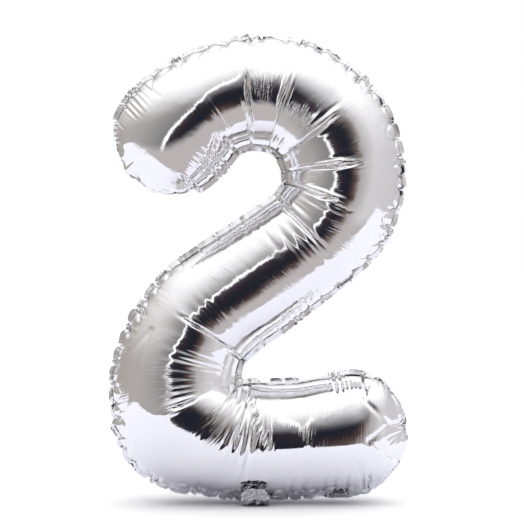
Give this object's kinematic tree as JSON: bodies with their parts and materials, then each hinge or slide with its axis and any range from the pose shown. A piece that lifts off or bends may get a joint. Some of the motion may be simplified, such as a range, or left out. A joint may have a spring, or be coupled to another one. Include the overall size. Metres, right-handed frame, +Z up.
{
  "type": "foil number balloon",
  "caption": "Inflated silver foil balloon shaped as the digit two, with a seam rim, a folded valve neck and a ribbon tab.",
  "frame": {"origin": "bottom centre of the bounding box, under the base bar", "axes": "+Z up the digit, -Y out of the front face as the digit reads, +X to the reader's right"},
  "size_m": [0.554, 0.2168, 0.8643],
  "materials": {
    "silver_film": "mirror-gloss metallised film, wrinkled at the seams",
    "sealed_film": "metallised film, sealed two plies thick and crinkled",
    "valve_film": "clear soft plastic film"
  },
  "bodies": {
    "envelope": {"front_panel": "silver_film", "back_panel": "silver_film", "valve_inner_front_ply": "valve_film", "valve_inner_back_ply": "valve_film"},
    "filling_neck": {"neck_front_ply": "silver_film", "neck_back_ply": "silver_film", "valve_neck_front_ply": "valve_film", "valve_neck_back_ply": "valve_film"},
    "ribbon_tab": {"ribbon_tab": "sealed_film"}
  },
  "joints": [
    {"name": "neck_fold", "type": "hinge", "parent": "envelope", "child": "filling_neck", "pos_m": [-0.00599, 0, 0.00135], "axis": [1, 0, 0], "range_deg": [0, 186]},
    {"name": "tab_fold", "type": "hinge", "parent": "envelope", "child": "ribbon_tab", "pos_m": [0.14801, 0, 0.00765], "axis": [1, 0, 0], "range_deg": [0, 224]}
  ]
}
